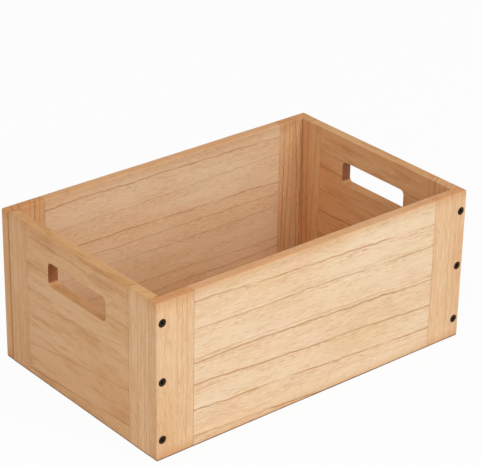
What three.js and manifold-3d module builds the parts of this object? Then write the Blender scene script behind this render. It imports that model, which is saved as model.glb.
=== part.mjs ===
// Open wooden browser bin: four board walls screwed together round a grooved-in bottom panel.
// Millimetres, +Z up, +X along the long walls, origin at the middle of the underside.
import * as THREE from 'three';
import { mergeVertices } from 'three/addons/utils/BufferGeometryUtils.js';
import Module from 'manifold-3d';

// Whole bin
const LENGTH = 400;
const WIDTH = 255;
const HEIGHT = 170;
const WALL = 12;

// Boards of a wall
const LONG_STILE_WIDTH = 44;
const END_STILE_WIDTH = 31;
const OUTER_EDGE_RADIUS = 1.6;
const INNER_EDGE_RADIUS = 1;
const GLUE_LINE = 0.15; // between a stile and its centre board
const CORNER_GAP = 0.2; // between an end wall and the long wall that covers its edge

// Hand slot in each end wall
const SLOT_LENGTH = 95;
const SLOT_HEIGHT = 26;
const SLOT_RADIUS = 5;
const SLOT_DROP = 28; // from the top edge of the wall down to the slot
const SLOT_RIM = 0.8; // eased rim on both faces

// Bottom panel
const BOTTOM_THICKNESS = 5;
const BOTTOM_LIFT = 8; // from the foot of the walls up to the underside of the panel
const GROOVE_DEPTH = 5;
const GROOVE_CLEARANCE = 0.25;

// Countersunk screws, through a long wall into the edge of an end wall
const SCREW_LENGTH = 35;
const SCREW_SHANK = 4;
const SCREW_TIP = 5;
const SCREW_HEAD = 8.4;
const SCREW_HEAD_RIM = 0.4; // straight rim above the cone of the head
const SCREW_SINK = 0.4; // from the face of the wall down to the head
const SCREW_DROP = 22; // from the top edge to the upper screw, and from the foot to the lower one
const SCREW_OFFSET = 1; // from the middle of the end wall's thickness towards the inside
const SCREW_CLEARANCE = 0.25;
const SOCKET_WIDTH = 3; // hexagon socket, across its flats
const SOCKET_DEPTH = 2;

// Blind dowels between a stile and its centre board
const DOWEL_DIAMETER = 6;
const DOWEL_LENGTH = 26;
const DOWEL_CHAMFER = 1;
const DOWEL_CLEARANCE = 0.15;

// Facets of round shapes, and how far a cutter runs past the face that it cuts
const EDGE_STEPS = 3;
const SLOT_STEPS = 5;
const ROUND_SIDES = 16;
const CUT_MARGIN = 1;

// Places that follow from the sizes above
const SCREW_LINE = WALL / 2 + SCREW_OFFSET; // in from the outer face of the end wall
const SCREW_HEIGHTS = { lower: SCREW_DROP, middle: HEIGHT / 2, upper: HEIGHT - SCREW_DROP };
const DOWEL_HEIGHTS = {
  lower: (SCREW_HEIGHTS.lower + SCREW_HEIGHTS.middle) / 2,
  upper: (SCREW_HEIGHTS.middle + SCREW_HEIGHTS.upper) / 2,
};
const INNER_LENGTH = LENGTH - 2 * WALL;
const INNER_WIDTH = WIDTH - 2 * WALL;
const END_RUN = INNER_WIDTH - 2 * CORNER_GAP;
const PANEL_REACH = GROOVE_DEPTH - GROOVE_CLEARANCE; // panel edge inside a groove

const FINISHES = {
  centre: { color: 0xe6c398, roughness: 0.62, metalness: 0 },
  stile: { color: 0xdfb488, roughness: 0.62, metalness: 0 },
  bottom: { color: 0xe0bf94, roughness: 0.66, metalness: 0 },
  dowel: { color: 0xd9b78a, roughness: 0.7, metalness: 0 },
  screw: { color: 0x1d1c1d, roughness: 0.42, metalness: 0.7 },
};

const wasm = await Module();
wasm.setup();

// Closed solid from a geometry, with shared corners merged and collapsed triangles dropped.
function solidOf(geometry) {
  const bare = geometry.clone();
  bare.deleteAttribute('normal');
  bare.deleteAttribute('uv');
  const merged = mergeVertices(bare);
  const corners = merged.index.array;
  const kept = [];
  for (let i = 0; i < corners.length; i += 3) {
    const [a, b, c] = corners.slice(i, i + 3);
    if (a !== b && b !== c && c !== a) kept.push(a, b, c);
  }
  return new wasm.Manifold(new wasm.Mesh({
    numProp: 3,
    vertProperties: merged.attributes.position.array,
    triVerts: new Uint32Array(kept),
  }));
}

function geometryOf(solid) {
  const { vertProperties, triVerts } = solid.getMesh();
  const indexed = new THREE.BufferGeometry();
  indexed.setAttribute('position', new THREE.BufferAttribute(vertProperties, 3));
  indexed.setIndex(new THREE.BufferAttribute(triVerts, 1));
  const geometry = indexed.toNonIndexed();
  geometry.computeVertexNormals();
  return geometry;
}

function cut(blank, cutters) {
  return geometryOf(cutters.reduce((solid, cutter) => solid.subtract(cutter), blank));
}

function pieceOf(name, geometry, finish) {
  const mesh = new THREE.Mesh(geometry, new THREE.MeshStandardMaterial(FINISHES[finish]));
  mesh.name = name;
  return mesh;
}

// Rectangle with a radius of its own at each corner, anticlockwise from the low corner.
function roundedRectangle(low, high, radii) {
  const shape = new THREE.Shape();
  const corners = [[low[0], low[1]], [high[0], low[1]], [high[0], high[1]], [low[0], high[1]]];
  corners.forEach(([x, y], i) => {
    const radius = radii[i];
    const inX = x === low[0] ? radius : -radius;
    const inY = y === low[1] ? radius : -radius;
    const start = Math.PI * (1 + i / 2);
    if (radius > 0) shape.absarc(x + inX, y + inY, radius, start, start + Math.PI / 2, false);
    else shape.lineTo(x, y);
  });
  shape.closePath();
  return shape;
}

function box(low, high) {
  const size = high.map((value, i) => value - low[i]);
  const middle = high.map((value, i) => (value + low[i]) / 2);
  return new THREE.BoxGeometry(...size).translate(...middle);
}

// Turned piece about +Y, from [radius, place along the axis] points that start and end on the axis.
function turned(profile) {
  const points = profile.map(([radius, along]) => new THREE.Vector2(radius, along));
  return new THREE.LatheGeometry(points, ROUND_SIDES);
}

// A wall is made with its outer face on y = 0, its run along x and its foot on z = 0.
// The section of every board is eased along its top and its foot. A board at the corner of
// the bin is eased up its outer corner as well: openEnd is -1 or 1 for that end, 0 for neither.
function boardBlank(from, to, openEnd) {
  const [outer, inner] = [OUTER_EDGE_RADIUS, INNER_EDGE_RADIUS];
  const section = roundedRectangle([0, 0], [WALL, HEIGHT], [outer, inner, inner, outer]);
  const lengthways = new THREE.Matrix4().makeBasis(
    new THREE.Vector3(0, 1, 0), new THREE.Vector3(0, 0, 1), new THREE.Vector3(1, 0, 0));
  const run = new THREE.ExtrudeGeometry(section, {
    depth: to - from, bevelEnabled: false, curveSegments: EDGE_STEPS,
  }).applyMatrix4(lengthways).translate(from, 0, 0);
  if (openEnd === 0) return solidOf(run);
  const radii = openEnd < 0 ? [outer, 0, 0, 0] : [0, outer, 0, 0];
  const plan = new THREE.ExtrudeGeometry(roundedRectangle([from, 0], [to, WALL], radii), {
    depth: HEIGHT, bevelEnabled: false, curveSegments: EDGE_STEPS,
  });
  return solidOf(run).intersect(solidOf(plan));
}

// Screw about +Y: the head's face on y = 0, its point at the far end.
function screwProfile() {
  const cone = SCREW_HEAD_RIM + (SCREW_HEAD - SCREW_SHANK) / 2;
  return [
    [0, 0], [SCREW_HEAD / 2, 0], [SCREW_HEAD / 2, SCREW_HEAD_RIM],
    [SCREW_SHANK / 2, cone], [SCREW_SHANK / 2, SCREW_LENGTH - SCREW_TIP], [0, SCREW_LENGTH],
  ];
}

// Hole for a screw: its profile with clearance all round, open past the head.
function screwBore() {
  const mouth = -SCREW_SINK - CUT_MARGIN;
  const head = SCREW_HEAD / 2 + SCREW_CLEARANCE;
  const shank = SCREW_SHANK / 2 + SCREW_CLEARANCE;
  const cone = SCREW_HEAD_RIM + SCREW_CLEARANCE;
  const foot = SCREW_LENGTH + SCREW_CLEARANCE;
  return turned([
    [0, mouth], [head, mouth], [head, cone], [shank, cone + head - shank],
    [shank, foot - SCREW_TIP + SCREW_CLEARANCE], [SCREW_CLEARANCE, foot], [0, foot],
  ]);
}

function screwGeometry() {
  const corner = SOCKET_WIDTH / 2 / Math.cos(Math.PI / 6);
  const socket = new THREE.CylinderGeometry(corner, corner, SOCKET_DEPTH + CUT_MARGIN, 6)
    .translate(0, (SOCKET_DEPTH - CUT_MARGIN) / 2, 0);
  return cut(solidOf(turned(screwProfile())), [solidOf(socket)]);
}

// Dowel along x, with chamfered ends.
function dowelGeometry() {
  const [radius, half] = [DOWEL_DIAMETER / 2, DOWEL_LENGTH / 2];
  return turned([
    [0, -half], [radius - DOWEL_CHAMFER, -half], [radius, DOWEL_CHAMFER - half],
    [radius, half - DOWEL_CHAMFER], [radius - DOWEL_CHAMFER, half], [0, half],
  ]).rotateZ(-Math.PI / 2);
}

function dowelBore() {
  const radius = DOWEL_DIAMETER / 2 + DOWEL_CLEARANCE;
  const length = DOWEL_LENGTH + 2 * DOWEL_CLEARANCE;
  return new THREE.CylinderGeometry(radius, radius, length, ROUND_SIDES).rotateZ(Math.PI / 2);
}

// Groove for the bottom panel along the inner face of a wall, reaching half on each side.
function grooveCut(half) {
  return solidOf(box(
    [-half, WALL - GROOVE_DEPTH, BOTTOM_LIFT - GROOVE_CLEARANCE],
    [half, WALL + CUT_MARGIN, BOTTOM_LIFT + BOTTOM_THICKNESS + GROOVE_CLEARANCE]));
}

// Hand slot straight through an end wall, with an eased rim on both faces.
function slotCuts() {
  const high = HEIGHT - SLOT_DROP;
  const radii = [SLOT_RADIUS, SLOT_RADIUS, SLOT_RADIUS, SLOT_RADIUS];
  const outline = roundedRectangle(
    [-SLOT_LENGTH / 2, high - SLOT_HEIGHT], [SLOT_LENGTH / 2, high], radii);
  const through = new THREE.ExtrudeGeometry(outline, {
    depth: WALL + 2 * CUT_MARGIN, bevelEnabled: false, curveSegments: SLOT_STEPS,
  }).rotateX(Math.PI / 2).translate(0, WALL + CUT_MARGIN, 0);
  const rimAt = (face) => new THREE.ExtrudeGeometry(outline, {
    depth: 2 * CUT_MARGIN, bevelEnabled: true, curveSegments: SLOT_STEPS,
    bevelThickness: SLOT_RIM, bevelSize: SLOT_RIM, bevelSegments: 1,
  }).rotateX(Math.PI / 2).translate(0, face, 0);
  return [through, rimAt(0), rimAt(WALL + 2 * CUT_MARGIN)].map(solidOf);
}

// Three boards and their dowels, in the wall's own frame. The cuts go through all three boards,
// as they do on the bench after the wall is glued up.
function wallPieces({ name, sides }, run, stileWidth, openCorners, cuts) {
  const joint = run / 2 - stileWidth;
  const bores = [-joint, joint].flatMap((x) => Object.values(DOWEL_HEIGHTS)
    .map((z) => solidOf(dowelBore().translate(x, WALL / 2, z))));
  const board = (label, from, to, openEnd, finish) => pieceOf(
    `${name}_${label}`, cut(boardBlank(from, to, openEnd), [...cuts, ...bores]), finish);
  const [first, second] = sides;
  const inside = joint - GLUE_LINE / 2;
  const outside = joint + GLUE_LINE / 2;
  const pieces = [
    board(`${first}_stile`, -run / 2, -outside, openCorners ? -1 : 0, 'stile'),
    board('center_board', -inside, inside, 0, 'centre'),
    board(`${second}_stile`, outside, run / 2, openCorners ? 1 : 0, 'stile'),
  ];
  [[first, -joint], [second, joint]].forEach(([side, x]) => {
    Object.entries(DOWEL_HEIGHTS).forEach(([level, z]) => {
      const dowel = pieceOf(`${name}_${side}_dowel_${level}`, dowelGeometry(), 'dowel');
      dowel.position.set(x, WALL / 2, z);
      pieces.push(dowel);
    });
  });
  return pieces;
}

// Turns a wall's pieces about +Z and sets its outer face out from the middle of the bin.
function placedWall(pieces, turn, out) {
  const wall = new THREE.Group();
  wall.add(...pieces);
  wall.rotation.z = turn;
  wall.position.set(out * Math.sin(turn), -out * Math.cos(turn), 0);
  return wall;
}

// Front or back wall: it runs the whole length, covers the edges of the end walls and
// carries the screws.
function longWall(wall) {
  const places = [[wall.sides[0], -1], [wall.sides[1], 1]].flatMap(([side, end]) => (
    Object.entries(SCREW_HEIGHTS).map(([level, z]) => (
      { label: `${side}_screw_${level}`, at: [end * (LENGTH / 2 - SCREW_LINE), SCREW_SINK, z] }))));
  const bores = places.map(({ at }) => solidOf(screwBore().translate(...at)));
  const cuts = [grooveCut(INNER_LENGTH / 2 + GROOVE_DEPTH), ...bores];
  const pieces = wallPieces(wall, LENGTH, LONG_STILE_WIDTH, true, cuts);
  places.forEach(({ label, at }) => {
    const screw = pieceOf(`${wall.name}_${label}`, screwGeometry(), 'screw');
    screw.position.set(...at);
    pieces.push(screw);
  });
  return placedWall(pieces, wall.turn, WIDTH / 2);
}

// Left or right wall: it stands between the long walls and has the hand slot.
function endWall(wall) {
  const head = WIDTH / 2 - SCREW_SINK;
  const bores = [-1, 1].flatMap((end) => Object.values(SCREW_HEIGHTS).map((z) => (
    solidOf(screwBore().rotateZ(end * Math.PI / 2).translate(end * head, SCREW_LINE, z)))));
  const cuts = [grooveCut(END_RUN / 2 + CUT_MARGIN), ...slotCuts(), ...bores];
  const pieces = wallPieces(wall, END_RUN, END_STILE_WIDTH, false, cuts);
  return placedWall(pieces, wall.turn, LENGTH / 2);
}

function bottomPanel() {
  const half = [INNER_LENGTH / 2 + PANEL_REACH, INNER_WIDTH / 2 + PANEL_REACH];
  const geometry = box(
    [-half[0], -half[1], BOTTOM_LIFT], [half[0], half[1], BOTTOM_LIFT + BOTTOM_THICKNESS]);
  return pieceOf('bottom_panel', geometry, 'bottom');
}

// Each wall with its turn about +Z, and what lies at its first and second end.
const LONG_WALLS = [
  { name: 'front', turn: 0, sides: ['left', 'right'] },
  { name: 'back', turn: Math.PI, sides: ['right', 'left'] },
];
const END_WALLS = [
  { name: 'left', turn: -Math.PI / 2, sides: ['back', 'front'] },
  { name: 'right', turn: Math.PI / 2, sides: ['front', 'back'] },
];

const bin = new THREE.Group();
bin.name = 'browser_bin';
bin.add(...LONG_WALLS.map(longWall), ...END_WALLS.map(endWall), bottomPanel());

export default bin;
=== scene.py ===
"""Looks of the wooden browser bin: eased boards, countersunk black screws and solid wood grain."""
import math
from collections import namedtuple

import bpy
import numpy as np
from mathutils import Matrix, Vector


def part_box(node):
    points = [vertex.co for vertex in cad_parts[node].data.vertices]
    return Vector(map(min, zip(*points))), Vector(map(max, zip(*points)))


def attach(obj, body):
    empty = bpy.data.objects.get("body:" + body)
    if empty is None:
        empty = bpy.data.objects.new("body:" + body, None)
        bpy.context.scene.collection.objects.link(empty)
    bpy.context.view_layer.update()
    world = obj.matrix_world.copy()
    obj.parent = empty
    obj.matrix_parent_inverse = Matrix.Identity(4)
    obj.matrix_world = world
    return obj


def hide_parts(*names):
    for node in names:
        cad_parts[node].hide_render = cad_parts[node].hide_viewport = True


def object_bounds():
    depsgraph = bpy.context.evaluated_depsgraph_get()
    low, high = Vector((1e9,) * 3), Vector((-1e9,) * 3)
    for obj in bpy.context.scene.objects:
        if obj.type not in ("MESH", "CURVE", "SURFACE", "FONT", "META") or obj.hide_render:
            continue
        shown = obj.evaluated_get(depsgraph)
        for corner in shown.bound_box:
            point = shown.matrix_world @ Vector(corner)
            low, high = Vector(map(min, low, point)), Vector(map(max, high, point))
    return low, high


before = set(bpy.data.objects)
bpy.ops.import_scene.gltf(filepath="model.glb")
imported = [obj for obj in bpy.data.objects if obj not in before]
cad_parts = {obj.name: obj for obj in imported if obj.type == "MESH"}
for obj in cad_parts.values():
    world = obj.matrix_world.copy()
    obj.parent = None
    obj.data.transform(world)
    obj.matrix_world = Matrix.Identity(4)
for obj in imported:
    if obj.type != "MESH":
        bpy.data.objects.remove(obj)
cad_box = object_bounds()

# Overall sizes, from the bounds of the CAD parts. All lengths are in metres.
LENGTH, WIDTH, HEIGHT = cad_box[1] - cad_box[0]
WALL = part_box("front_center_board")[1].y + WIDTH / 2

# Rounding of the boards' edges
UPPER_EDGE = 0.0018
LOWER_EDGE = 0.0010
INNER_EDGE = 0.0010
CORNER_EDGE = 0.0014
JOINT_ARRIS = 0.00010
PANEL_ARRIS = 0.0004
# How uneven sanding leaves that rounding, as a share of it, in waves given by length and part
EDGE_WOBBLE = 0.22
EDGE_WAVES = ((0.19, 0.5), (0.073, 0.3), (0.031, 0.2))
WAVE_PHASE = 3

# Hand slots, with the rounding of their rims
SLOT_LENGTH = 0.095
SLOT_HEIGHT = 0.026
SLOT_RADIUS = 0.005
SLOT_DROP = 0.028
SLOT_ROUND = 0.0007

# Screws and their holes
SCREW_SHANK = 0.0040
SCREW_CORE = 0.0029
SCREW_TIP = 0.0050
SCREW_PITCH = 0.0020
SCREW_RIM = 0.0004
SCREW_SINK = 0.0004
SCREW_BEVEL = 0.00018
SOCKET_WIDTH = 0.0030
SOCKET_DEPTH = 0.0020
THREAD_START = 2  # turns from the cone to the full thread
THREAD_RISE = 0.3  # share of a turn on the steep side of the thread
TIP_SHARE = 0.05  # what is left of the shank at its point
MOUTH_ROUND = 0.00025
MOUTH_CHORD = 0.3  # how far in the middle of the mouth's quarter round lies, as a share of it

# Clearances and cuts
GROOVE_CLEARANCE = 0.00025
BORE_CLEARANCE = 0.00015
SCREW_CLEARANCE = 0.00025
CUT_MARGIN = 0.001
WELD_GAP = 0.000001

# Fineness of the surfaces
STATION_STEP = 0.012
LEAST_STATIONS = 3
FACE_STEPS = 6
ARC_STEPS = 6
SLOT_ARC_STEPS = 10
SCREW_SIDES = 36
BORE_SIDES = 48
THREAD_ROWS_PER_TURN = 8
SMOOTH_ANGLE = math.radians(35)

# The share of red, green and blue that the level faces and the borders of the walls keep: painted
# shade, darker and more orange on faces that look up or down and in bands along the top and foot
LONG_TOP_SHADE = (1.00, 0.735, 0.54)
LONG_BORDER_SHADE = (0.89, 0.80, 0.72)
END_TOP_SHADE = (0.955, 0.865, 0.715)
END_BORDER_SHADE = (0.955, 0.885, 0.82)
# A wood by its colour in even light (sRGB, 0 to 255), the strength of its cloudy figure, of its pores,
# of its pink blush and of its grain's ripple, what its level faces and its upper border keep of that
# colour as painted shade, and how strong the same painted shade border is along its foot
Wood = namedtuple("Wood", "tone figure pores blush ripple top border low")
LONG_CENTRE = Wood((242, 213, 176), 0.25, 0.9, 0.7, 1.0, LONG_TOP_SHADE, LONG_BORDER_SHADE, 1.0)
LONG_STILE = Wood((238, 201, 158), 0.30, 0.8, 0.7, 0.8, LONG_TOP_SHADE, LONG_BORDER_SHADE, 1.0)
END_CENTRE = Wood((239, 191, 141), 1.0, 0.6, 0.3, 0.4, END_TOP_SHADE, END_BORDER_SHADE, 0.0)
END_STILE = Wood((240, 193, 144), 0.5, 0.7, 0.3, 0.6, END_TOP_SHADE, END_BORDER_SHADE, 0.0)
PANEL = Wood((238, 205, 162), 0.5, 0.8, 0.5, 0.8, END_TOP_SHADE, END_BORDER_SHADE, 0.0)
DOWEL = Wood((222, 188, 142), 0.3, 0.6, 0.5, 0.8, END_TOP_SHADE, END_BORDER_SHADE, 0.0)

# Noises of the wood and of the screws, each by the length of its features along the grain and across
# it, the shift of its seed, its detail and its roughness
Noise = namedtuple("Noise", "along across shift detail roughness")
WANDER = Noise(0.110, 0.050, 7.3, 1.0, 0.5)
RIPPLE = Noise(0.020, 0.012, 3.1, 2.0, 0.5)
CURL = Noise(0.0065, 0.0045, 4.2, 1.0, 0.5)
FADE = Noise(0.060, 0.012, 11.7, 2.0, 0.5)
BREAK = Noise(0.007, 0.0020, 2.7, 2.0, 0.6)
PATCH = Noise(0.030, 0.008, 8.1, 2.0, 0.5)
STROKE = Noise(0.0085, 0.00095, 5.5, 2.5, 0.6)
SLIT = Noise(0.0038, 0.00028, 12.9, 1.0, 0.5)
CLOUD = Noise(0.045, 0.008, 9.4, 3.0, 0.5)
DRIFT = Noise(0.160, 0.040, 0.0, 2.0, 0.5)
BLUSH = Noise(0.050, 0.022, 6.6, 2.0, 0.5)
FIBRE = Noise(0.060, 0.0014, 1.9, 3.0, 0.6)
MOTTLE = Noise(0.0009, 0.0009, 2.0, 3.0, 0.5)
# Where a noise starts to show and where it shows fully
FADE_RANGE = (0.22, 0.56)
RED_RANGE = (0.45, 0.62)
PATCH_RANGE = (0.36, 0.64)
PORE_RANGE = (0.50, 0.66)
FLECK_RANGE = (0.50, 0.34)
SLIT_RANGE = (0.60, 0.74)
CLOUD_RANGE = (0.44, 0.72)
DRIFT_RANGE = (0.30, 0.70)
BLUSH_RANGE = (0.45, 0.70)

# How far the noises swing the grain aside, and how far the rings lean as they go into the board
WANDER_SIZE = 0.0065
RIPPLE_SIZE = 0.0034
CURL_SIZE = 0.0012
RING_LEAN = 0.45
# Distances at which a ring's line, the marks by joints, and the painted shade in the borders and at the
# foot start and are full
LINE_REACH = (0.0012, 0.0002)
GLUE_REACH = (0.0022, 0.0003)
SEAM_REACH = (0.0024, 0.0004)
BORDER_SHADE_REACH = (0.014, 0.0005)
FOOT_SHADE_REACH = (0.0026, 0.0010)
ZONE_DEPTH = 0.013  # how far the pores below a ring reach
# How squarely a face has to lie for a mark on it to start and to be full
LEVEL_FACING = (0.25, 0.95)
SQUARE_FACING = (0.55, 0.92)
FLAT_FACING = (0.90, 0.99)

# Strength of the ring lines, and of pores and slits below a ring, in patches and everywhere
LINE_STRENGTH = 1.9
ZONE_PORES = 0.5
PATCH_PORES = 0.55
PLAIN_PORES = 0.15
PATCH_SLITS = 0.6
PLAIN_SLITS = 0.4
# Shifts of a wood's colour, as shares of its red, green and blue
PALE_SHIFT = (1.03, 1.06, 1.09)
WARM_SHIFT = (0.97, 0.91, 0.83)
PINK_SHIFT = (1.02, 0.97, 1.02)
DARK_SHIFT = (0.93, 0.84, 0.74)
CLOUD_SHIFT = (0.80, 0.65, 0.50)
PORE_SHIFT = (0.62, 0.44, 0.30)
FLECK_SHIFT = (1.10, 1.15, 1.24)
LINE_SHIFT = (0.50, 0.36, 0.24)
RED_LINE_SHIFT = (0.72, 0.45, 0.28)
# Painted shade on the stiles' long sides
SIDE_SHADE_SHIFT = (1.035, 0.95, 0.87)
# End grain's own darker tone, deepened as painted shade
END_GRAIN_AND_SHADE_SHIFT = (0.42, 0.29, 0.24)
GLUE_SHIFT = (0.62, 0.42, 0.26)
# Painted shade: the dark contact line along the foot of the walls
FOOT_SHADE_SHIFT = (0.335, 0.26, 0.185)
NO_SHIFT = (1, 1, 1)
# How much of a shift shows where its mark is full
STRIP_COVER = 0.5
ZONE_COVER = 0.35
CLOUD_COVER = 0.75
FLECK_COVER = 0.50
PORE_COVER = 0.58
SLIT_COVER = 0.30
LINE_COVER = 0.92
UNDERSIDE_FADE = 0.75  # what the foot's shift loses on the flat underside
FIBRE_CONTRAST = 0.22
# Height of each mark above the face, and what it adds to the roughness
RELIEF = {"fibre": 0.00003, "pores": -0.00005, "line": -0.00008, "slits": -0.00003}
RELIEF_STRENGTH = 0.7
ROUGHENING = {"pores": 0.12, "line": 0.08, "fibre": 0.10}
WOOD_ROUGHNESS = 0.60
WOOD_SHEEN = 0.25

# Growth rings as (place across the board, slope along the grain, strength).
# A centre board counts from its top edge, a stile from its end at the corner of the bin.
RINGS = {
    "front_center_board": (
        (0.0195, 0.040, 0.85), (0.0420, 0.030, 0.25), (0.0458, 0.022, 0.65), (0.0785, 0.036, 0.35),
        (0.0825, 0.034, 0.95), (0.1105, 0.055, 1.00), (0.1375, 0.052, 0.95), (0.1480, 0.050, 0.20),
        (0.1670, 0.056, 0.80),
    ),
    "left_center_board": (
        (0.0143, 0.000, 0.45), (0.0440, 0.010, 0.55), (0.0770, -0.120, 0.30),
        (0.1225, -0.130, 0.45), (0.1577, -0.065, 0.85),
    ),
    "front_left_stile": (
        (0.0012, 0.002, 0.25), (0.0032, 0.004, 0.20), (0.0105, 0.004, 0.12), (0.0245, -0.006, 0.27),
        (0.0310, 0.000, 0.22), (0.0360, 0.005, 0.30),
    ),
    "front_right_stile": (
        (0.0060, 0.004, 0.18), (0.0125, 0.000, 0.25), (0.0205, -0.008, 0.40), (0.0390, 0.004, 0.15),
    ),
    "left_front_stile": (
        (0.0048, 0.000, 0.42), (0.0068, -0.008, 0.28), (0.0177, 0.006, 0.36), (0.0286, 0.002, 0.25),
    ),
    "left_back_stile": ((0.0060, 0.006, 0.20), (0.0150, 0.000, 0.25), (0.0270, -0.010, 0.15)),
}
# Other boards draw their rings: the least and greatest distance between them, how much their slopes
# spread, their least and greatest strength, and more of them than any board holds
CENTRE_RING_GAPS = (0.015, 0.036)
STILE_RING_GAPS = (0.005, 0.011)
DOWEL_RING_GAPS = (0.003, 0.006)
RING_SLOPES = 0.03
RING_STRENGTHS = (0.35, 0.95)
MOST_RINGS = 60
# Seeds of the grain and of the sanded edges
WALL_SEED_STEP = 10
PANEL_EDGE_SEED = 50
PANEL_SEED = 51
DOWEL_SEED = 60
# Stiles with darker wood on one side: where across the board it starts and where it is full
DARK_STRIPS = {
    "front_left_stile": (0.0030, 0.0120),
    "front_right_stile": (0.0215, 0.0190),
    "left_back_stile": (0.0020, 0.0280),
}
# Stiles cut from a paler or a browner plank, as shares of their wood's red, green and blue
PLANK_SHIFTS = {
    "left_front_stile": (1.07, 1.11, 1.15),
    "back_left_stile": (0.96, 0.88, 0.77),
}
# How dark the glue line is where an end wall's stile butts on a long wall, and elsewhere
BUTT_GLUE = {"left_back_stile": 0.75, "back_left_stile": 0.75}
PLAIN_GLUE = 0.08

# Coating of the screws: its two tones, the steel below it, how worn the rim is beside the edges of
# the head, and how wear and mottle rub the coating off
SCREW_DARK = (0.008, 0.005, 0.003)
SCREW_LIGHT = (0.026, 0.016, 0.009)
SCREW_BARE = (0.090, 0.062, 0.042)
RIM_WEAR = 0.3
RUB_WEAR = 0.7
RUB_MOTTLE = 0.5
RUB_RANGE = (0.80, 1.10)
RUB_COVER = 0.4
RUB_METAL = 0.8
SCREW_RELIEF = 0.00003
SCREW_RELIEF_STRENGTH = 0.6
SCREW_ROUGHNESS = 0.42
MOTTLE_ROUGHENING = 0.20
SCREW_SHEEN = 0.12

# Camera: its place, its turn from the front, its tilt down and its roll in degrees, its lens and the
# width of its sensor in millimetres, and how far it sees
CAMERA_PLACE = (-1.18209, -1.41915, 1.05448)
CAMERA_TURN = 39.914
CAMERA_TILT = 26.555
CAMERA_ROLL = 1.013
CAMERA_LENS = 151.654
CAMERA_SENSOR = 36.0
CAMERA_REACH = 50.0
# Soft lamps as (name, place, size, power), and the light that comes from all round
LAMPS = (
    ("key", (0.4, -2.6, 1.75), 1.6, 36.0),
    ("fill", (-1.3, -1.05, 0.7), 1.0, 4.2),
)
AMBIENT = 0.45
WHITE = (1, 1, 1)
# The floor: its colour, the share of white that it shows the camera, and how far out and down it lies
FLOOR_COLOUR = (0.92, 0.92, 0.92)
FLOOR_GLOW = 0.95
FLOOR_REACH = 6.0
FLOOR_DROP = 0.0002


def linear(tone):
    """Linear red, green and blue of an sRGB colour given from 0 to 255."""
    share = np.array(tone, float) / 255
    return np.where(share <= 0.04045, share / 12.92, ((share + 0.055) / 1.055) ** 2.4)


class Wire:
    """One output of a node graph. Arithmetic on it adds Math nodes."""

    def __init__(self, graph, socket):
        self.graph = graph
        self.socket = socket

    def __add__(self, other):
        return self.graph.math("ADD", self, other)

    __radd__ = __add__

    def __sub__(self, other):
        return self.graph.math("SUBTRACT", self, other)

    def __rsub__(self, other):
        return self.graph.math("SUBTRACT", other, self)

    def __mul__(self, other):
        return self.graph.math("MULTIPLY", self, other)

    __rmul__ = __mul__

    def __truediv__(self, other):
        return self.graph.math("DIVIDE", self, other)

    def __rtruediv__(self, other):
        return self.graph.math("DIVIDE", other, self)

    def __abs__(self):
        return self.graph.math("ABSOLUTE", self)

    def above(self, other):
        return self.graph.math("GREATER_THAN", self, other)

    def least(self, other):
        return self.graph.math("MINIMUM", self, other)

    def most(self, other):
        return self.graph.math("MAXIMUM", self, other)


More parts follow.
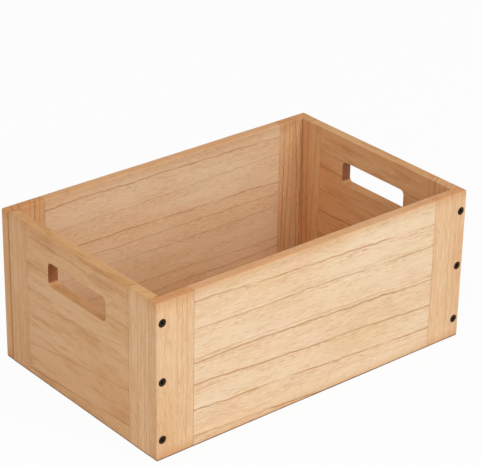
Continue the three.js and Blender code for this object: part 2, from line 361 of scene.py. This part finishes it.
class Graph:
    """The nodes of one material or of the world, added one by one and linked by their sockets."""

    def __init__(self, owner):
        owner.use_nodes = True
        self.tree = owner.node_tree
        self.tree.nodes.clear()

    def add(self, kind, settings, sockets, output=0):
        """Adds a node: its settings first, then the value or the link of each socket named."""
        node = self.tree.nodes.new(kind)
        for key, value in settings.items():
            setattr(node, key, value)
        for key, value in sockets.items():
            if isinstance(value, Wire):
                self.tree.links.new(value.socket, node.inputs[key])
            elif np.ndim(value) and len(value) < len(node.inputs[key].default_value):
                node.inputs[key].default_value = (*value, 1.0)
            else:
                node.inputs[key].default_value = value
        return Wire(self, node.outputs[output]) if len(node.outputs) else None

    def math(self, operation, *values):
        """Math node on wires and numbers."""
        return self.add("ShaderNodeMath", {"operation": operation}, dict(enumerate(values)))

    def place(self):
        """The place on the bin, the same for all its pieces."""
        return self.add("ShaderNodeTexCoord", {}, {}, "Object")

    def parts(self, vector):
        """The three components of a vector."""
        return [self.add("ShaderNodeSeparateXYZ", {}, {0: vector}, axis) for axis in range(3)]

    def noise(self, parts, noise, seed):
        """Noise from 0 to 1 over the places along the grain and in both directions across it."""
        lengths = (noise.along, noise.across, noise.across)
        start = seed + noise.shift
        scaled = {axis: part / length + start for axis, (part, length) in enumerate(zip(parts, lengths))}
        place = self.add("ShaderNodeCombineXYZ", {}, scaled)
        sockets = {"Vector": place, "Scale": 1.0, "Detail": noise.detail, "Roughness": noise.roughness}
        return self.add("ShaderNodeTexNoise", {"noise_dimensions": "3D"}, sockets)

    def swing(self, parts, noise, seed):
        """Noise about 0, by up to a half either way."""
        return self.noise(parts, noise, seed) - 0.5

    def between(self, value, low, high):
        """0 at low and 1 at high, with a smooth rise in between. Low may be the larger of the two."""
        settings = {"interpolation_type": "SMOOTHSTEP"}
        return self.add("ShaderNodeMapRange", settings, {0: value, 1: low, 2: high, 3: 0.0, 4: 1.0})

    def mask(self, parts, noise, seed, limits):
        """Noise that starts to show at the first limit and shows fully at the second."""
        return self.between(self.noise(parts, noise, seed), *limits)

    def facing(self, direction):
        """How squarely the surface faces along a direction, either way round, from 0 to 1."""
        normal = self.add("ShaderNodeNewGeometry", {}, {}, "Normal")
        sockets = {0: normal, 1: direction}
        return abs(self.add("ShaderNodeVectorMath", {"operation": "DOT_PRODUCT"}, sockets, "Value"))

    def mix(self, share, first, second, blend="MIX"):
        """Second colour laid over the first by share."""
        settings = {"data_type": "RGBA", "blend_type": blend}
        return self.add("ShaderNodeMix", settings, {0: share, 6: first, 7: second}, 2)

    def bump(self, height, strength):
        """Normal of a surface that is raised by a height in metres."""
        return self.add("ShaderNodeBump", {}, {"Height": height, "Distance": 1.0, "Strength": strength})

    def surface(self, **sockets):
        """Principled surface with these sockets, as the material's output."""
        named = {key.replace("_", " "): value for key, value in sockets.items()}
        self.output(self.add("ShaderNodeBsdfPrincipled", {}, named))

    def output(self, shader, kind="ShaderNodeOutputMaterial"):
        """Output node of the material or the world, fed by a shader."""
        self.add(kind, {}, {"Surface": shader})


class Wall:
    """A wall's own frame: run along x, from the outer face inwards along y, up along z.

    stiles names the sides of the bin that lie at the start and at the end of the run.
    """

    def __init__(self, run_x, run_y, out, stiles):
        self.stiles = stiles
        self.frame = Matrix((
            (run_x, -run_y, 0, run_y * out),
            (run_y, run_x, 0, -run_x * out),
            (0, 0, 1, 0),
            (0, 0, 0, 1),
        ))

    def box(self, node):
        """Lowest and highest corner of a CAD node in this wall's frame."""
        ends = np.array([self.frame.inverted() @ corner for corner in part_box(node)])
        return ends.min(0), ends.max(0)

    def place(self, points):
        """World places of points in this wall's frame."""
        return points @ np.array(self.frame.to_3x3()).T + np.array(self.frame.translation)


LONG_WALLS = ("front", "back")
WALLS = {
    "front": Wall(1, 0, WIDTH / 2, ("left", "right")),
    "back": Wall(-1, 0, WIDTH / 2, ("right", "left")),
    "left": Wall(0, -1, LENGTH / 2, ("back", "front")),
    "right": Wall(0, 1, LENGTH / 2, ("front", "back")),
}

# Where a shading point is in its board: along the grain, across the rings, below the outer face,
# along the run of the wall and above the floor
Spot = namedtuple("Spot", "grain cross depth run up")
# A board's wood grain: the spot from the graph, the grain's direction, the one that the long sides
# face, where along the grain the rings' places hold, the board's thickness, the glue lines as places
# along the run with their strengths, and the strength of the glue line on the long sides
Grain = namedtuple("Grain", "spot along side middle thickness joints seam")
# What growth leaves in the wood: the place across the bent rings, marks from 0 to 1, and the fibre,
# which swings about 0
Figure = namedtuple("Figure", "across line red zone pores flecks slits cloud drift blush fibre")


def seeded_rings(seed, last, gaps):
    """Growth rings up to the last place: distances, slopes and strengths drawn from the seed."""
    draw = np.random.default_rng(seed)
    places = np.cumsum(draw.uniform(*gaps, MOST_RINGS))
    places = places[places < last]
    slopes = draw.normal(0.0, RING_SLOPES, len(places))
    strengths = draw.uniform(*RING_STRENGTHS, len(places))
    return tuple(zip(places.tolist(), slopes.tolist(), strengths.tolist()))


def wood_figure(graph, spot, wood, rings, middle, seed):
    """The marks of growth, from rings whose places across the grain are swung aside by noises.

    A ring line is a peak of the distance from its ring, faded and broken along the grain. Below it a
    zone of pores fades out. Pores and pale flecks are the high and low ends of one fine, long noise.
    """
    straight = (spot.grain, spot.cross, spot.depth)
    wander = graph.swing(straight, WANDER, seed) * WANDER_SIZE
    ripple = graph.swing(straight, RIPPLE, seed) * (RIPPLE_SIZE * wood.ripple)
    curl = graph.swing(straight, CURL, seed) * CURL_SIZE
    across = spot.cross + spot.depth * RING_LEAN + wander + ripple
    bent = (spot.grain, across, spot.depth)
    curly = (spot.grain, across + curl, spot.depth)
    run = spot.grain - middle
    lines, zones = [], []
    for place, slope, strength in rings:
        gap = across - run * slope - place
        lines.append(graph.between(abs(gap), *LINE_REACH) * strength)
        zones.append((1 - gap / ZONE_DEPTH).most(0.0) * gap.above(0.0) * strength)
    fade = graph.mask(straight, FADE, seed, FADE_RANGE)
    breaks = graph.noise(bent, BREAK, seed)
    zone = sum(zones).least(1.0)
    patch = graph.mask(straight, PATCH, seed, PATCH_RANGE)
    strokes = graph.noise(curly, STROKE, seed)
    pore_share = zone * ZONE_PORES + patch * PATCH_PORES + PLAIN_PORES
    slit_share = patch * PATCH_SLITS + PLAIN_SLITS
    return Figure(
        across=across,
        line=(sum(lines) * fade * breaks * LINE_STRENGTH).least(1.0),
        red=graph.between(breaks, *RED_RANGE),
        zone=zone,
        pores=graph.between(strokes, *PORE_RANGE) * pore_share * wood.pores,
        flecks=graph.between(strokes, *FLECK_RANGE) * wood.pores,
        slits=graph.mask(curly, SLIT, seed, SLIT_RANGE) * slit_share,
        cloud=graph.mask(bent, CLOUD, seed, CLOUD_RANGE) * wood.figure,
        drift=graph.mask(straight, DRIFT, seed, DRIFT_RANGE),
        blush=graph.mask(straight, BLUSH, seed, BLUSH_RANGE) * wood.blush,
        fibre=graph.swing(bent, FIBRE, seed),
    )


def figured_colour(graph, figure, base, dark_strip):
    """Colour of a clean face: a drift from pale to warm, with the marks of growth laid over it."""
    colour = graph.mix(figure.drift, base * PALE_SHIFT, base * WARM_SHIFT)
    colour = graph.mix(figure.blush, colour, PINK_SHIFT, "MULTIPLY")
    if dark_strip:
        strip = graph.between(figure.across, *dark_strip)
        colour = graph.mix(strip * STRIP_COVER, colour, DARK_SHIFT, "MULTIPLY")
    colour = graph.mix(figure.zone * ZONE_COVER, colour, DARK_SHIFT, "MULTIPLY")
    colour = graph.mix(figure.cloud * CLOUD_COVER, colour, base * CLOUD_SHIFT)
    colour = graph.mix(figure.flecks * FLECK_COVER, colour, base * FLECK_SHIFT)
    colour = graph.mix(figure.pores * PORE_COVER, colour, base * PORE_SHIFT)
    colour = graph.mix(figure.slits * SLIT_COVER, colour, base * PORE_SHIFT)
    brown = graph.mix(figure.red, base * LINE_SHIFT, base * RED_LINE_SHIFT)
    return graph.mix(figure.line * LINE_COVER, colour, brown)


def edge_masks(graph, spot, wood, grain):
    """Where edges, ends and joints change a board's colour, each with the share of it that is kept. The
    level faces, the stiles' long sides, the borders and the foot get painted shade; end grain gets its own
    darker tone deepened by painted shade; glue lines are the wood's own.
    """
    # Painted shade: faces that look up or down come out darker and more orange than the upright ones
    upward = graph.facing((0, 0, 1))
    level = graph.between(upward, *LEVEL_FACING)
    upright = 1 - level
    # End grain's own darker tone, made deeper as painted shade in the ends of the hand slots
    end_grain_and_shade = graph.between(graph.facing(grain.along), *SQUARE_FACING) * upright
    # Painted shade: the stiles' long sides come out warmer and darker; the glue seam uses the same faces
    side = graph.between(graph.facing(grain.side), *SQUARE_FACING) * upright
    glue = sum(graph.between(abs(spot.run - place), *GLUE_REACH) * strength
               for place, strength in grain.joints)
    seam = graph.between(grain.thickness - spot.depth, *SEAM_REACH) * side * grain.seam
    # Painted shade: bands that darken towards the top of every wall, and towards the foot where low allows
    upper = graph.between(HEIGHT - spot.up, *BORDER_SHADE_REACH)
    lower = graph.between(spot.up, *BORDER_SHADE_REACH) * wood.low
    underside = graph.between(upward, *FLAT_FACING)
    # Painted shade: a dark contact line along the foot, weaker on the flat underside
    foot_shade = graph.between(spot.up, *FOOT_SHADE_REACH) * (1 - underside * UNDERSIDE_FADE)
    return (
        ((upper + lower) * upright, wood.border), (side, SIDE_SHADE_SHIFT), (level, wood.top),
        (end_grain_and_shade, END_GRAIN_AND_SHADE_SHIFT), (glue, GLUE_SHIFT), (seam, GLUE_SHIFT), (foot_shade, FOOT_SHADE_SHIFT),
    )


def wood_finish(name, wood, rings, grain, seed, plank=NO_SHIFT, dark_strip=None):
    """Solid wood with the marks of growth, deeper colour on its end grain and joints, and painted shade on
    its level faces, long sides, borders, foot and end grain.
    """
    material = bpy.data.materials.new(name)
    graph = Graph(material)
    spot = grain.spot(graph)
    figure = wood_figure(graph, spot, wood, rings, grain.middle, seed)
    colour = figured_colour(graph, figure, linear(wood.tone) * plank, dark_strip)
    for mask, shift in edge_masks(graph, spot, wood, grain):
        colour = graph.mix(mask, colour, shift, "MULTIPLY")
    light = figure.fibre * FIBRE_CONTRAST + 1.0
    colour = graph.add("ShaderNodeHueSaturation", {}, {"Color": colour, "Value": light})
    relief = sum(getattr(figure, mark) * height for mark, height in RELIEF.items())
    rough = sum(getattr(figure, mark) * more for mark, more in ROUGHENING.items()) + WOOD_ROUGHNESS
    normal = graph.bump(relief, RELIEF_STRENGTH)
    graph.surface(Base_Color=colour, Roughness=rough, Normal=normal, Specular_IOR_Level=WOOD_SHEEN)
    return material


def board_grain(wall, node, end, joints, seam):
    """Grain of a wall's board: upright for a stile at the end -1 or 1 of the run, else along the run."""
    low, high = wall.box(node)
    corner = float(low[0] if end < 0 else high[0])
    upright = Vector((0, 0, 1))
    level = wall.frame.to_3x3() @ Vector((1, 0, 0))

    def spot(graph):
        sockets = {"Location": wall.frame.translation, "Rotation": wall.frame.to_euler()}
        sockets["Vector"] = graph.place()
        inside = graph.add("ShaderNodeMapping", {"vector_type": "TEXTURE"}, sockets)
        run, depth, up = graph.parts(inside)
        if end:
            return Spot(up, (run - corner) * float(-end), depth, run, up)
        return Spot(run, HEIGHT - up, depth, run, up)

    if end:
        return Grain(spot, upright, level, HEIGHT / 2, WALL, joints, seam)
    return Grain(spot, level, upright, 0.0, WALL, joints, seam)


def screw_finish():
    """Black satin coating with a mottled sheen, rubbed to dull steel along the worn edges."""
    material = bpy.data.materials.new("black_screw")
    graph = Graph(material)
    mottle = graph.noise(graph.parts(graph.place()), MOTTLE, 0.0)
    worn = graph.add("ShaderNodeAttribute", {"attribute_name": "wear"}, {}, "Fac")
    rubbed = graph.between(worn * RUB_WEAR + mottle * RUB_MOTTLE, *RUB_RANGE)
    colour = graph.mix(mottle, SCREW_DARK, SCREW_LIGHT)
    colour = graph.mix(rubbed * RUB_COVER, colour, SCREW_BARE)
    rough = mottle * MOTTLE_ROUGHENING + SCREW_ROUGHNESS
    normal = graph.bump(mottle * SCREW_RELIEF, SCREW_RELIEF_STRENGTH)
    graph.surface(Base_Color=colour, Roughness=rough, Metallic=rubbed * RUB_METAL, Normal=normal,
                  Specular_IOR_Level=SCREW_SHEEN)
    return material


def mesh_piece(name, rings):
    """Closed tube: each ring of points is joined to the next, and flat faces close both ends.

    rings is an array of ring, point and coordinate. Faces are turned to point outwards.
    """
    count, sides = rings.shape[:2]
    index = np.arange(count * sides).reshape(count, sides)
    nearer, further = index[:-1], index[1:]
    quads = np.stack([nearer, further, np.roll(further, -1, 1), np.roll(nearer, -1, 1)], -1).reshape(-1, 4)
    corners = rings.reshape(-1, 3)[quads] - rings.mean((0, 1))
    halves = np.concatenate([corners[:, [0, 1, 2]], corners[:, [0, 2, 3]]])
    volume = np.einsum("ij,ij->i", halves[:, 0], np.cross(halves[:, 1], halves[:, 2])).sum()
    first, last = index[0], index[-1][::-1]
    if volume < 0:
        quads, first, last = quads[:, ::-1], first[::-1], last[::-1]
    mesh = bpy.data.meshes.new(name)
    mesh.from_pydata(rings.reshape(-1, 3).tolist(), [], [*quads.tolist(), first.tolist(), last.tolist()])
    piece = bpy.data.objects.new(name, mesh)
    bpy.context.scene.collection.objects.link(piece)
    return piece


def wobble(along, seed):
    """Slow unevenness of a hand-sanded edge: a sum of sines of the place along it, about 0."""
    return sum(size * np.sin(2 * np.pi * along / length + seed * (WAVE_PHASE + k))
               for k, (length, size) in enumerate(EDGE_WAVES))


def eased_inset(gap, radius):
    """How far a face draws in at a distance gap from an end that is rounded by radius."""
    inside = np.clip(radius - gap, 0, radius)
    return radius - np.sqrt(radius ** 2 - inside ** 2)


def board_rings(low, high, edges, ends, seed):
    """Rounded rectangle of a board, carried along its run and drawn in at its two eased ends.

    low and high are corners as (along, across, up). edges gives the radius of the lower and the upper
    edge, first of the outer and then of the inner face. ends gives, for both ends of the run, the
    rounding of the outer, upper and lower edges.
    """
    length, thick, tall = high - low
    arc = np.linspace(0, np.pi / 2, ARC_STEPS + 1)
    share = np.linspace(0, 1, FACE_STEPS + 1)[1:-1]
    curl = 1 - np.sin(arc)
    drop = 1 - np.cos(arc)
    # A point of the half section: in by radius * inward, up by tall * rise + radius * shift
    inward = np.concatenate([curl, 0 * share, curl[::-1]])
    rise = np.concatenate([0 * arc, share, 0 * arc + 1])
    shift = np.concatenate([drop, 1 - 2 * share, -drop[::-1]])

    widest = max(*ends, JOINT_ARRIS)
    steps = max(LEAST_STATIONS, int(length / 2 / STATION_STEP))
    gaps = np.concatenate([widest * drop, np.linspace(widest, length / 2, steps)[1:]])
    along = np.concatenate([gaps, length - gaps[-2::-1]])[:, None]
    uneven = 1 + EDGE_WOBBLE * wobble(low[0] + along, seed)
    arris = eased_inset(along, JOINT_ARRIS) + eased_inset(length - along, JOINT_ARRIS)
    rounded = eased_inset(along, ends[0]) + eased_inset(length - along, ends[1])

    halves = []
    for (lower, upper), inset in zip(edges, (rounded, arris)):
        radius = lower + (upper - lower) * rise
        across = radius * uneven * inward + inset
        up = tall * rise + radius * uneven * shift
        up = tall / 2 + (up - tall / 2) * (1 - 2 * rounded / tall)
        halves.append(np.stack([along + 0 * up, across, up], -1))
    halves[1][..., 1] = thick - halves[1][..., 1]
    return low + np.concatenate([halves[0], halves[1][:, ::-1]], 1)


def turned_rings(profile, sides):
    """Rings about the y axis: each point of the profile is a radius and a place along the axis."""
    radius, along = np.array(profile, float).T[:, :, None]
    angle = np.linspace(0, 2 * np.pi, sides, endpoint=False)
    return np.stack([radius * np.cos(angle), along + 0 * angle, radius * np.sin(angle)], -1)


def box_rings(low, high):
    """Two rings of four corners."""
    (x0, y0, z0), (x1, y1, z1) = low, high
    return np.array([[(x, y0, z0), (x, y1, z0), (x, y1, z1), (x, y0, z1)] for x in (x0, x1)])


def slot_rings(wall):
    """Rounded slot outline carried through an end wall, flared at both faces as a quarter round."""
    arc = np.linspace(0, np.pi / 2, ARC_STEPS + 1)
    deep = SLOT_ROUND * (1 - np.cos(arc))
    flare = SLOT_ROUND * (1 - np.sin(arc))
    depth = np.concatenate([[-CUT_MARGIN], deep, WALL - deep[::-1], [WALL + CUT_MARGIN]])[:, None]
    grown = np.concatenate([[SLOT_ROUND], flare, flare[::-1], [SLOT_ROUND]])[:, None]
    quarter = np.linspace(0, np.pi / 2, SLOT_ARC_STEPS + 1)
    corner = np.repeat(np.arange(4), SLOT_ARC_STEPS + 1)
    angle = np.tile(quarter, 4) + corner * np.pi / 2
    side = np.array([1, -1, -1, 1])[corner] * (SLOT_LENGTH / 2 - SLOT_RADIUS)
    above = np.array([1, 1, -1, -1])[corner] * (SLOT_HEIGHT / 2 - SLOT_RADIUS)
    along = side + (SLOT_RADIUS + grown) * np.cos(angle)
    up = HEIGHT - SLOT_DROP - SLOT_HEIGHT / 2 + above + (SLOT_RADIUS + grown) * np.sin(angle)
    return wall.place(np.stack([along, depth + 0 * along, up], -1))


def dowel_bore_rings(node):
    """Round bore along the longest side of a dowel's box."""
    low, high = map(np.array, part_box(node))
    size = high - low
    run = int(np.argmax(size))
    half = size[run] / 2 + BORE_CLEARANCE
    radius = size.min() / 2 + BORE_CLEARANCE
    rings = turned_rings([(radius, -half), (radius, half)], BORE_SIDES)
    return (low + high) / 2 + (rings if run == 1 else rings[..., [1, 0, 2]])


def screw_frame(node):
    """Middle of a screw's head, its direction along y, its head radius and its length, from its box."""
    low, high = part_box(node)
    inward = 1.0 if low.y < 0 else -1.0
    head = np.array([(low.x + high.x) / 2, low.y if inward > 0 else high.y, (low.z + high.z) / 2])
    return head, inward, (high.x - low.x) / 2, high.y - low.y


def screw_bore_rings(node):
    """Hole of a countersunk screw: an eased mouth, the cone of the head and the shank's bore."""
    head, inward, radius, length = screw_frame(node)
    wide = radius + SCREW_CLEARANCE
    thin = SCREW_SHANK / 2 + SCREW_CLEARANCE
    cone = SCREW_RIM + SCREW_CLEARANCE
    face = -SCREW_SINK
    eased = MOUTH_ROUND * MOUTH_CHORD
    rings = turned_rings([
        (wide + MOUTH_ROUND, face - CUT_MARGIN), (wide + MOUTH_ROUND, face),
        (wide + eased, face + eased), (wide, face + MOUTH_ROUND),
        (wide, cone), (thin, cone + wide - thin), (thin, length + SCREW_CLEARANCE),
    ], BORE_SIDES)
    return head + rings * (1, inward, 1)


def screw_piece(node):
    """Countersunk screw: rings from the floor of its hexagon socket, over the head, to the point.

    A ring's radius turns from a hexagon in the socket to a circle on the head. Along the shank it
    rises from core to crest as a sawtooth of the place along the axis less the turn, which is a thread.
    """
    head, inward, radius, length = screw_frame(node)
    angle = np.linspace(0, 2 * np.pi, SCREW_SIDES, endpoint=False)
    sector = np.mod(angle, np.pi / 3) - np.pi / 6
    hexagon = SOCKET_WIDTH / 2 / np.cos(sector)
    arc = np.linspace(0, np.pi / 2, ARC_STEPS)
    cone = SCREW_RIM + radius - SCREW_SHANK / 2
    # Rows up to the cone, as (hexagon's share, radius past it, place along the axis, wear)
    rows = [(1, 0, SOCKET_DEPTH, 0), (1, 0, SCREW_BEVEL, 0), (1, SCREW_BEVEL, 0, 1)]
    rows += [(0, radius - SCREW_BEVEL * (1 - s), SCREW_BEVEL * (1 - c), 1)
             for s, c in zip(np.sin(arc), np.cos(arc))]
    rows += [(0, radius, SCREW_RIM, RIM_WEAR), (0, SCREW_SHANK / 2, cone, 0)]
    six, past, along, wear = np.array(rows, float).T[:, :, None]
    count = int((length - cone) / SCREW_PITCH * THREAD_ROWS_PER_TURN)
    down = np.linspace(cone, length, count + 1)[1:-1, None]
    phase = np.mod(down / SCREW_PITCH - angle / (2 * np.pi), 1)
    ridge = np.minimum(phase / THREAD_RISE, (1 - phase) / (1 - THREAD_RISE))
    taper = np.clip((length - down) / SCREW_TIP, TIP_SHARE, 1)
    start = np.clip((down - cone) / (THREAD_START * SCREW_PITCH), 0, 1)
    threaded = SCREW_CORE + (SCREW_SHANK - SCREW_CORE) * ridge
    shank = (SCREW_SHANK * (1 - start) + threaded * start) / 2 * taper
    reach = np.concatenate([six * hexagon + past, shank])
    place = np.concatenate([along + 0 * angle, down + 0 * angle])
    rings = np.stack([reach * np.cos(angle), place, reach * np.sin(angle)], -1)
    piece = mesh_piece(node + "_turned", head + rings * (1, inward, 1))
    worn = np.concatenate([wear + 0 * angle, 0 * shank]).astype(np.float32)
    piece.data.attributes.new("wear", "FLOAT", "POINT").data.foreach_set("value", worn.ravel())
    return piece


def cut(piece, holes):
    """Takes the holes that reach into a piece out of it, and welds points that fall together."""
    corners = np.array([corner[:] for corner in piece.bound_box])
    cutters = []
    for rings in holes:
        if (rings.min((0, 1)) < corners.max(0)).all() and (rings.max((0, 1)) > corners.min(0)).all():
            cutters.append(mesh_piece("cutter", rings))
            modifier = piece.modifiers.new("hole", "BOOLEAN")
            modifier.operation = "DIFFERENCE"
            modifier.solver = "EXACT"
            modifier.object = cutters[-1]
    weld = piece.modifiers.new("weld", "WELD")
    weld.merge_threshold = WELD_GAP
    opened = piece.evaluated_get(bpy.context.evaluated_depsgraph_get())
    mesh = bpy.data.meshes.new_from_object(opened)
    piece.modifiers.clear()
    piece.data = mesh
    for cutter in cutters:
        bpy.data.objects.remove(cutter)


def finished(piece, material, node):
    """Smooth faces with sharp corners, its finish, a place under the bin's body, and the CAD node that it
    stands for hidden.
    """
    piece.data.materials.clear()
    piece.data.materials.append(material)
    piece.data.polygons.foreach_set("use_smooth", np.ones(len(piece.data.polygons), bool))
    piece.data.set_sharp_from_angle(angle=SMOOTH_ANGLE)
    weighted = piece.modifiers.new("even_normals", "WEIGHTED_NORMAL")
    weighted.keep_sharp = True
    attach(piece, "root")
    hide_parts(node)


def all_holes():
    """Rings of every hole: the panel's groove, dowel and screw bores, and the two hand slots."""
    low, high = map(np.array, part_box("bottom_panel"))
    holes = [box_rings(low - GROOVE_CLEARANCE, high + GROOVE_CLEARANCE)]
    nodes = sorted(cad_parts)
    holes += [screw_bore_rings(node) for node in nodes if "_screw_" in node]
    holes += [dowel_bore_rings(node) for node in nodes if "_dowel_" in node]
    return holes + [slot_rings(WALLS[end]) for end in ("left", "right")]


def make_board(node, wall, end, wood, holes, seed):
    """One board of a wall. end is -1 or 1 for the stile at the start or end of the run, else 0."""
    low, high = wall.box(node)
    long_wall = node.startswith(LONG_WALLS)
    ends = [CORNER_EDGE if long_wall and end == side else JOINT_ARRIS for side in (-1, 1)]
    edges = ((LOWER_EDGE, UPPER_EDGE), (INNER_EDGE, INNER_EDGE))
    rings = board_rings(low, high, edges, ends, seed)
    piece = mesh_piece(node + "_wood", wall.place(rings))
    cut(piece, holes)
    butt = BUTT_GLUE.get(node, PLAIN_GLUE)
    joints = [(float(place), butt if end == side else PLAIN_GLUE)
              for place, side in ((low[0], -1), (high[0], 1)) if not (long_wall and end == side)]
    across, gaps = (high[0] - low[0], STILE_RING_GAPS) if end else (HEIGHT, CENTRE_RING_GAPS)
    lines = RINGS.get(node) or seeded_rings(seed, across, gaps)
    grain = board_grain(wall, node, end, joints, butt if long_wall and end else 0.0)
    plank = PLANK_SHIFTS.get(node, NO_SHIFT)
    material = wood_finish(node + "_wood", wood, lines, grain, seed, plank, DARK_STRIPS.get(node))
    finished(piece, material, node)


def make_walls():
    """The boards of the four walls, each cut from its own piece of wood."""
    holes = all_holes()
    for number, (name, wall) in enumerate(WALLS.items()):
        centre, stile = (LONG_CENTRE, LONG_STILE) if name in LONG_WALLS else (END_CENTRE, END_STILE)
        first, second = wall.stiles
        seed = WALL_SEED_STEP * number + 1
        make_board(f"{name}_center_board", wall, 0, centre, holes, seed)
        make_board(f"{name}_{first}_stile", wall, -1, stile, holes, seed + 1)
        make_board(f"{name}_{second}_stile", wall, 1, stile, holes, seed + 2)


def make_panel():
    """Bottom panel with lightly broken edges, its grain along the bin."""
    low, high = map(np.array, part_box("bottom_panel"))
    size = high - low
    arrises = (PANEL_ARRIS, PANEL_ARRIS)
    rings = board_rings(np.zeros(3), size[[0, 2, 1]], (arrises, arrises), arrises, PANEL_EDGE_SEED)
    # The board's run, thickness and width lie along x, z and minus y of the bin.
    world = np.stack([low[0] + rings[..., 0], high[1] - rings[..., 2], low[2] + rings[..., 1]], -1)
    piece = mesh_piece("bottom_panel_wood", world)

    def spot(graph):
        along, across, up = graph.parts(graph.place())
        return Spot(along, across - float(low[1]), up - float(low[2]), along, up)

    ends = [(float(place), PLAIN_GLUE) for place in (low[0], high[0])]
    grain = Grain(spot, Vector((1, 0, 0)), Vector((0, 1, 0)), 0.0, float(size[2]), ends, 0.0)
    lines = seeded_rings(PANEL_SEED, size[1], CENTRE_RING_GAPS)
    material = wood_finish("bottom_panel_wood", PANEL, lines, grain, PANEL_SEED)
    finished(piece, material, "bottom_panel")


def make_fasteners():
    """Screws turned anew, and a finish for the dowels, which lie sealed inside the walls."""
    black = screw_finish()

    def spot(graph):
        # A dowel lies along x or y, so their sum runs along it either way.
        x, y, z = graph.parts(graph.place())
        return Spot(x + y, z, x - y, x, z)

    grain = Grain(spot, Vector((1, 0, 0)), Vector((0, 1, 0)), 0.0, 0.0, (), 0.0)
    lines = seeded_rings(DOWEL_SEED, HEIGHT, DOWEL_RING_GAPS)
    dowel = wood_finish("dowel_wood", DOWEL, lines, grain, DOWEL_SEED)
    for node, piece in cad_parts.items():
        if "_screw_" in node:
            finished(screw_piece(node), black, node)
        elif "_dowel_" in node:
            piece.data.materials.clear()
            piece.data.materials.append(dowel)


def seen_directly(graph):
    """1 for what the camera sees straight, mirrored or through something, else 0."""
    rays = ("Is Camera Ray", "Is Glossy Ray", "Is Transmission Ray")
    return sum(graph.add("ShaderNodeLightPath", {}, {}, ray) for ray in rays).least(1.0)


def make_stage():
    """White floor that keeps a light shadow, and a white world."""
    corners = [(x * FLOOR_REACH, y * FLOOR_REACH, -FLOOR_DROP)
               for x, y in ((-1, -1), (1, -1), (1, 1), (-1, 1))]
    mesh = bpy.data.meshes.new("floor")
    mesh.from_pydata(corners, [], [(0, 1, 2, 3)])
    floor = bpy.data.objects.new("floor", mesh)
    bpy.context.scene.collection.objects.link(floor)
    material = bpy.data.materials.new("floor_white")
    graph = Graph(material)
    matt = graph.add("ShaderNodeBsdfDiffuse", {}, {"Color": FLOOR_COLOUR})
    glow = graph.add("ShaderNodeEmission", {}, {"Color": WHITE, "Strength": 1.0})
    share = seen_directly(graph) * FLOOR_GLOW
    graph.output(graph.add("ShaderNodeMixShader", {}, {0: share, 1: matt, 2: glow}))
    floor.data.materials.append(material)

    world = bpy.data.worlds.new("studio")
    bpy.context.scene.world = world
    sky = Graph(world)
    strength = seen_directly(sky) * (1 - AMBIENT) + AMBIENT
    light = sky.add("ShaderNodeBackground", {}, {"Color": WHITE, "Strength": strength})
    sky.output(light, "ShaderNodeOutputWorld")


def make_lamp(name, place, size, power):
    """Square soft lamp that faces the middle of the bin."""
    lamp = bpy.data.lights.new(name, "AREA")
    lamp.size = size
    lamp.energy = power
    holder = bpy.data.objects.new(name, lamp)
    holder.location = place
    aim = Vector((0, 0, HEIGHT / 2)) - holder.location
    holder.rotation_euler = aim.to_track_quat("-Z", "Y").to_euler()
    bpy.context.scene.collection.objects.link(holder)


def make_camera():
    """Camera at the fitted viewing angle: a long lens from the front left and above."""
    camera = bpy.data.cameras.new("camera")
    camera.lens = CAMERA_LENS
    camera.sensor_width = CAMERA_SENSOR
    camera.clip_end = CAMERA_REACH
    holder = bpy.data.objects.new("camera", camera)
    turn = Matrix.Rotation(-math.radians(CAMERA_TURN), 4, "Z")
    tilt = Matrix.Rotation(math.radians(90 - CAMERA_TILT), 4, "X")
    roll = Matrix.Rotation(math.radians(CAMERA_ROLL), 4, "Z")
    holder.matrix_world = Matrix.Translation(CAMERA_PLACE) @ turn @ tilt @ roll
    bpy.context.scene.collection.objects.link(holder)
    bpy.context.scene.camera = holder


make_camera()
make_walls()
make_panel()
make_fasteners()
make_stage()
for lamp in LAMPS:
    make_lamp(*lamp)
bpy.context.scene.view_settings.view_transform = "Standard"
